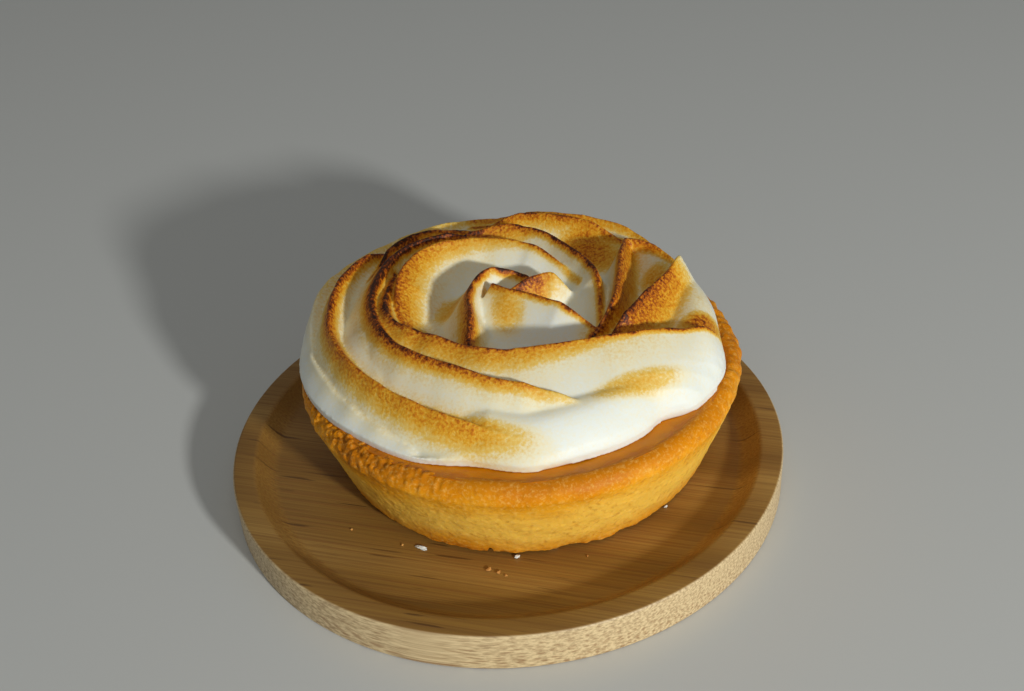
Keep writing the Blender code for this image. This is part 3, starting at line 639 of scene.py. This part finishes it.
def crown_height(x, y):
    radius = np.hypot(x, y)
    out = np.clip((radius - CROWN_FLAT_RADIUS) / (CROWN_EDGE_RADIUS - CROWN_FLAT_RADIUS), 0.0, 1.2)
    front = np.clip((10.0 - y) / 40.0, 0.0, 1.0)
    back = np.clip(y / 30.0, 0.0, 1.0)
    return CROWN_TOP - CROWN_FRONT_DROP * front * out ** 1.8 - CROWN_BACK_DROP * back * out ** 2


def body_height(x, y, rim):
    skirt = np.clip((rim - 0.62) / 0.26, 0.0, 1.0)
    from_lobe = np.abs(np.degrees(np.arctan2(y, x)) % 360.0 - LOBE_ANGLE) / LOBE_SPAN
    skirt_depth = SKIRT_DEPTH + LOBE_DEPTH * np.clip(1.5 - 1.5 * from_lobe, 0.0, 1.0)
    depth = VALLEY_DEPTH + (skirt_depth - VALLEY_DEPTH) * skirt ** 2 * (3 - 2 * skirt)
    return crown_height(x, y) - depth


def round_to_edge(x, y, z):
    """Draws places in to the swirl's outer edge and rounds them down to it."""
    radius = np.maximum(np.hypot(x, y), 1e-6)
    reach = edge_radius(np.arctan2(y, x))
    held = np.minimum(radius, reach * 0.995)
    share = np.clip((held / reach - EDGE_START) / (1.0 - EDGE_START), 0.0, 1.0)
    rounded = np.where(z > EDGE_Z, EDGE_Z + (z - EDGE_Z) * np.sqrt(1.0 - share ** EDGE_CURVE), z)
    return x * held / radius, y * held / radius, rounded


def spread_out(values, along):
    """Values that change evenly from the start of a fold (0) to its end (1), read at some places."""
    return np.interp(along, np.linspace(0.0, 1.0, len(values)), values)


def crest_line(fold):
    """Places along a crest about half a millimetre apart, with their heights and directions."""
    rough = smooth_line(fold["crest"], 60)
    length = np.linalg.norm(np.diff(rough, axis=0), axis=1).sum()
    line = smooth_line(fold["crest"], max(20, int(length / 0.5)))
    along = np.linspace(0.0, 1.0, len(line))
    lift = spread_out(fold["lift"], along)
    wobble = np.array([noise.noise(Vector((p[0], p[1], 3.0)) / 4.0) for p in line])
    top = crown_height(line[:, 0], line[:, 1]) + lift + 0.35 * wobble
    tangent = np.gradient(line, axis=0)
    tangent /= np.linalg.norm(tangent, axis=1)[:, None]
    left = np.stack([-tangent[:, 1], tangent[:, 0]], axis=1)
    return line, top, left, along


def fold_section(fold):
    """Cross-section of a fold, from its left foot over the crest to its right foot and under."""
    depth = VALLEY_DEPTH + 1.0
    half = CREST_HALF
    points = []
    for sign, width, hollow in ((1.0, fold["width"][0], fold["hollow"][0]),
                                (-1.0, fold["width"][1], fold["hollow"][1])):
        flank = []
        for t in (1.0, 0.8, 0.62, 0.46, 0.33, 0.22, 0.13, 0.06, 0.02):
            side = sign * (half + (width - half) * t) + fold["lean"] * (1.0 - t) ** 2
            fall = 0.25 + (depth - 0.25) * (1.0 - (1.0 - t) ** hollow)
            flank.append((side, -fall))
        points.append(flank)
    left, right = points
    cap = [(fold["lean"] + half * 0.75, -0.08), (fold["lean"], 0.0), (fold["lean"] - half * 0.75, -0.08)]
    under = [(-fold["width"][1], -depth - 4.0), (fold["width"][0], -depth - 4.0)]
    return np.array(left + cap + right[::-1] + under)


def make_fold(name, fold):
    line, top, left, along = crest_line(fold)
    section = fold_section(fold)
    rings = len(line)
    size = len(section)
    x = line[:, 0][:, None] + left[:, 0][:, None] * section[:, 0][None, :]
    y = line[:, 1][:, None] + left[:, 1][:, None] * section[:, 0][None, :]
    z = top[:, None] + section[:, 1][None, :]
    x, y, z = round_to_edge(x, y, z)
    z = np.maximum(z, SWIRL_UNDER + 0.5)
    points = np.stack([x, y, z], axis=-1).reshape(-1, 3) * MM + np.array(TART)
    faces = []
    for i in range(rings - 1):
        for j in range(size):
            k = (j + 1) % size
            faces.append((i * size + j, i * size + k, (i + 1) * size + k, (i + 1) * size + j))
    faces.append(tuple(range(size))[::-1])
    faces.append(tuple((rings - 1) * size + j for j in range(size)))
    return mesh_piece("fold_" + name, points.tolist(), faces)


def disc_grid(cells):
    """A square grid pressed into a unit disc, so that its cells stay even in size."""
    steps = np.linspace(-1.0, 1.0, cells + 1)
    u, v = np.meshgrid(steps, steps, indexing="ij")
    reach = np.maximum(np.abs(u), np.abs(v))
    wide = np.abs(u) >= np.abs(v)
    ratio = np.divide(np.where(wide, v, u), np.where(wide, u, v), out=np.zeros_like(u), where=reach > 0)
    angle = np.where(wide, 0.25 * np.pi * ratio, 0.5 * np.pi - 0.25 * np.pi * ratio)
    flip = np.where(np.where(wide, u, v) < 0.0, -1.0, 1.0)
    return flip * reach * np.cos(angle), flip * reach * np.sin(angle)


def make_mass():
    """The plain mass of meringue under the folds."""
    cells = MASS_CELLS
    unit_x, unit_y = disc_grid(cells)
    reach = edge_radius(np.arctan2(unit_y, unit_x))
    x, y = unit_x * reach, unit_y * reach
    rim = np.hypot(unit_x, unit_y)
    z = body_height(x, y, rim)
    share = np.clip((rim - EDGE_START) / (1.0 - EDGE_START), 0.0, 1.0)
    z = EDGE_Z + (z - EDGE_Z) * np.sqrt(np.maximum(0.0, 1.0 - share ** EDGE_CURVE))
    points = list(zip(x.ravel(), y.ravel(), z.ravel()))
    count = cells + 1
    faces = [(i * count + j, (i + 1) * count + j, (i + 1) * count + j + 1, i * count + j + 1)
             for i in range(cells) for j in range(cells)]
    border = ([i * count for i in range(cells)] + [cells * count + j for j in range(cells)]
              + [i * count + cells for i in range(cells, 0, -1)] + [j for j in range(cells, 0, -1)])
    inside = (RIM_RADIUS - SHOULDER_WIDTH) / MM - 0.5
    previous = border
    for inset, share in ((0.1, 0.75), (0.3, 0.5), (0.6, 0.25), (1.0, 0.08), (1.6, 0.0)):
        ring = []
        for index in border:
            px, py, pz = points[index]
            radius = math.hypot(px, py)
            under = LIP_Z if radius > inside else SWIRL_UNDER
            size = (radius - inset) / radius
            ring.append(len(points))
            points.append((px * size, py * size, under + (pz - under) * share))
        faces += [(previous[i], ring[i], ring[(i + 1) % len(ring)], previous[(i + 1) % len(ring)])
                  for i in range(len(ring))]
        previous = ring
    for radius_limit, height in ((inside - 0.5, LIP_Z), (inside - 0.9, SWIRL_UNDER)):
        ring = []
        for index in border:
            px, py, _ = points[index]
            radius = math.hypot(px, py)
            size = min(radius - 2.2, radius_limit) / radius
            ring.append(len(points))
            high = height if radius > inside else SWIRL_UNDER
            points.append((px * size, py * size, high))
        faces += [(previous[i], ring[i], ring[(i + 1) % len(ring)], previous[(i + 1) % len(ring)])
                  for i in range(len(ring))]
        previous = ring
    faces.append(tuple(previous))
    placed = np.array(points) * MM + np.array(TART)
    return mesh_piece("swirl_mass", placed.tolist(), faces)


def toast_and_shade_of(places):
    """How toasted each place of the swirl is, from 0 to 1, with painted shade in two hollows counted in."""
    x, y, z = (places - np.array(TART)).T / MM
    heat_and_shade = np.zeros(len(x))
    for fold in FOLDS.values():
        line, top, left, along = crest_line(fold)
        crest = line + left * fold["lean"]
        apart = np.full(len(x), 1e9)
        nearest = np.zeros(len(x), dtype=int)
        for k, (px, py) in enumerate(crest):
            square = (x - px) ** 2 + (y - py) ** 2
            closer = square < apart
            apart[closer] = square[closer]
            nearest[closer] = k
        side = (x - crest[nearest, 0]) * left[nearest, 0] + (y - crest[nearest, 1]) * left[nearest, 1]
        past_end = (nearest == 0) | (nearest == len(crest) - 1)
        gap = np.where(past_end, np.sqrt(apart), np.abs(side))
        scorch, tan, left_spread, right_spread = (
            spread_out(fold[key], along[nearest]) for key in ("scorch", "tan", "left", "right"))
        spread = np.where(side > 0.0, left_spread, right_spread)
        below = top[nearest] - z
        uneven = 0.5 + np.array([noise.noise(Vector((p[0], p[1], 9.0)) / 2.5) for p in line])[nearest]
        scorch = scorch * (0.75 + 0.4 * uneven)
        scorch_gap = gap / (SCORCH_WIDTH * (0.5 + 0.7 * scorch))
        line_heat = scorch * np.exp(-scorch_gap ** 1.8) * np.clip(1.0 - (below - 1.2) / 1.2, 0.0, 1.0)
        tan_heat = tan * np.exp(-(gap / spread) ** 2.4) * np.clip(1.0 - (below - 6.0) / 2.0, 0.0, 1.0)
        glow = (0.36 * tan * np.exp(-(gap / (2.2 * spread)) ** 2)
                * np.clip(1.0 - (below - 6.0) / 2.0, 0.0, 1.0))
        tan_heat = np.maximum(tan_heat, glow)
        both = np.maximum(line_heat, tan_heat) + 0.3 * np.minimum(line_heat, tan_heat)
        heat_and_shade = np.maximum(heat_and_shade, both)
    # The patches add toast, and in two hollows painted shade as well.
    for (cx, cy), long, wide, turn, strength in TOAST_AND_SHADE_PATCHES:
        a = math.radians(turn)
        u = ((x - cx) * math.cos(a) + (y - cy) * math.sin(a)) / long
        v = (-(x - cx) * math.sin(a) + (y - cy) * math.cos(a)) / wide
        heat_and_shade = np.maximum(heat_and_shade, strength * np.exp(-(u * u + v * v) ** 1.5))
    return np.clip(heat_and_shade, 0.0, 1.0)


def make_swirl(meringue):
    parts = [make_mass()] + [make_fold(name, fold) for name, fold in FOLDS.items()]
    deselect()
    for part in parts:
        part.select_set(True)
    bpy.context.view_layer.objects.active = parts[0]
    bpy.ops.object.join()
    swirl = bpy.context.object
    swirl.name = "meringue_rosette"
    merge = swirl.modifiers.new("one_mass", "REMESH")
    merge.mode = "VOXEL"
    merge.voxel_size = SWIRL_VOXEL
    soften = swirl.modifiers.new("soften", "SMOOTH")
    soften.factor = 0.5
    soften.iterations = 2
    apply_all(swirl)
    # The flat underside is hidden: it is cut off and closed with one face.
    bpy.ops.object.mode_set(mode="EDIT")
    bpy.ops.mesh.select_all(action="SELECT")
    bpy.ops.mesh.bisect(plane_co=(0.0, 0.0, (SWIRL_UNDER + 0.4) * MM), plane_no=(0.0, 0.0, 1.0),
                        clear_inner=True, use_fill=True)
    bpy.ops.object.mode_set(mode="OBJECT")
    count = len(swirl.data.vertices)
    places = np.empty(count * 3)
    swirl.data.vertices.foreach_get("co", places)
    toast_and_shade = swirl.data.attributes.new("toast_and_shade", "FLOAT", "POINT")
    toast_and_shade.data.foreach_set("value", toast_and_shade_of(places.reshape(-1, 3)).astype(np.float32))
    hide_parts("meringue_swirl")
    return settle(swirl, meringue, 180.0)


# Specks and crumbs --------------------------------------------------------------------------------

def scatter(name, places, rough):
    """Small lumps of one kind, joined into one piece: where, how long, wide and high, turn."""
    lumps = []
    for x, y, z, long, wide, high, turn in places:
        deselect()
        bpy.ops.mesh.primitive_ico_sphere_add(subdivisions=4, radius=1.0, location=(0.0, 0.0, 0.0))
        lump = bpy.context.object
        for corner in lump.data.vertices:
            corner.co *= 1.0 + rough * noise.noise(corner.co * 1.4 + Vector((x, y, z)) * 3.0)
        lump.scale = (long * MM / 2, wide * MM / 2, high * MM / 2)
        lump.rotation_euler = (0.0, 0.0, math.radians(turn))
        lump.location = (x * MM, y * MM, z * MM)
        bpy.ops.object.transform_apply(location=True, rotation=True, scale=True)
        lumps.append(lump)
    deselect()
    for lump in lumps:
        lump.select_set(True)
    bpy.context.view_layer.objects.active = lumps[0]
    bpy.ops.object.join()
    piece = bpy.context.object
    piece.name = name
    return piece


def make_specks(meringue):
    floor = DISH_FLOOR / MM
    smears = ((-17.0, -28.6, floor + 0.2, 2.4, 0.7, 0.5, -28), (0.6, -32.7, floor + 0.2, 1.0, 0.6, 0.5, 10),
              (29.4, -21.8, floor + 0.2, 0.7, 0.4, 0.4, 40), (7.5, -30.9, floor + 0.15, 1.8, 0.3, 0.3, 12))
    settle(scatter("meringue_specks", smears, 0.7), meringue, 180.0)


def make_crumbs():
    floor = DISH_FLOOR / MM
    crumbs = ((-4.6, -35.4, floor + 0.2, 0.9, 0.6, 0.5, 10), (-2.9, -36.3, floor + 0.15, 0.7, 0.5, 0.4, 40),
              (-1.6, -37.2, floor + 0.1, 0.5, 0.4, 0.3, 0), (-20.6, -27.4, floor + 0.1, 0.5, 0.4, 0.3, 70),
              (-30.4, -22.2, floor + 0.1, 0.4, 0.3, 0.3, 20), (13.5, -33.6, floor + 0.1, 0.4, 0.3, 0.3, 50))
    settle(scatter("pastry_crumbs", crumbs, 0.9), crumb_material(), 180.0)


# Floor, light and camera --------------------------------------------------------------------------

def make_floor():
    deselect()
    bpy.ops.mesh.primitive_plane_add(size=6.0, location=(0.0, 0.0, -0.02 * MM))
    floor = bpy.context.object
    floor.name = "floor"
    m = Nodes("floor")
    m.set(Base_Color=rgb(206, 208, 203), Roughness=0.6)
    floor.data.materials.append(m.material)


def make_light(name, turn, rise, size, power):
    """A round lamp aimed at the tart, from its turn off the right and its rise over the floor."""
    light = bpy.data.lights.new(name, "AREA")
    light.shape = "DISK"
    light.size = size
    light.energy = power
    lamp = bpy.data.objects.new(name, light)
    a, b = math.radians(turn), math.radians(rise)
    direction = Vector((math.cos(a) * math.cos(b), math.sin(a) * math.cos(b), math.sin(b)))
    lamp.location = LIGHT_AIM + direction * LIGHT_DISTANCE
    lamp.rotation_euler = direction.to_track_quat("Z", "Y").to_euler()
    bpy.context.scene.collection.objects.link(lamp)


def make_stage():
    make_floor()
    make_light("key", KEY_TURN, KEY_RISE, KEY_SIZE, KEY_POWER)
    make_light("fill", FILL_TURN, FILL_RISE, FILL_SIZE, FILL_POWER)
    world = bpy.data.worlds.new("studio")
    world.use_nodes = True
    glow = world.node_tree.nodes["Background"]
    glow.inputs["Color"].default_value = (1.0, 1.0, 1.0, 1.0)
    glow.inputs["Strength"].default_value = ROOM_GLOW
    bpy.context.scene.world = world
    bpy.context.scene.view_settings.view_transform = "Standard"


def make_camera():
    """A camera that looks down at the tart from the front, tipped a little to one side."""
    camera = bpy.data.cameras.new("camera")
    camera.lens = CAMERA_LENS
    camera.sensor_width = 36.0
    eye = bpy.data.objects.new("camera", camera)
    pitch, roll = math.radians(CAMERA_DOWN), math.radians(CAMERA_TIP)
    forward = Vector((0.0, math.cos(pitch), -math.sin(pitch)))
    right = Vector((1.0, 0.0, 0.0))
    up = right.cross(forward)
    tipped_right = right * math.cos(roll) + up * math.sin(roll)
    tipped_up = up * math.cos(roll) - right * math.sin(roll)
    turn = Matrix((tipped_right, tipped_up, -forward)).transposed()
    eye.matrix_world = Matrix.Translation(CAMERA_PLACE) @ turn.to_4x4()
    bpy.context.scene.collection.objects.link(eye)
    bpy.context.scene.camera = eye


make_stage()
make_camera()
make_dish()
make_shell()
make_curd()
meringue = meringue_material()
make_swirl(meringue)
make_specks(meringue)
make_crumbs()
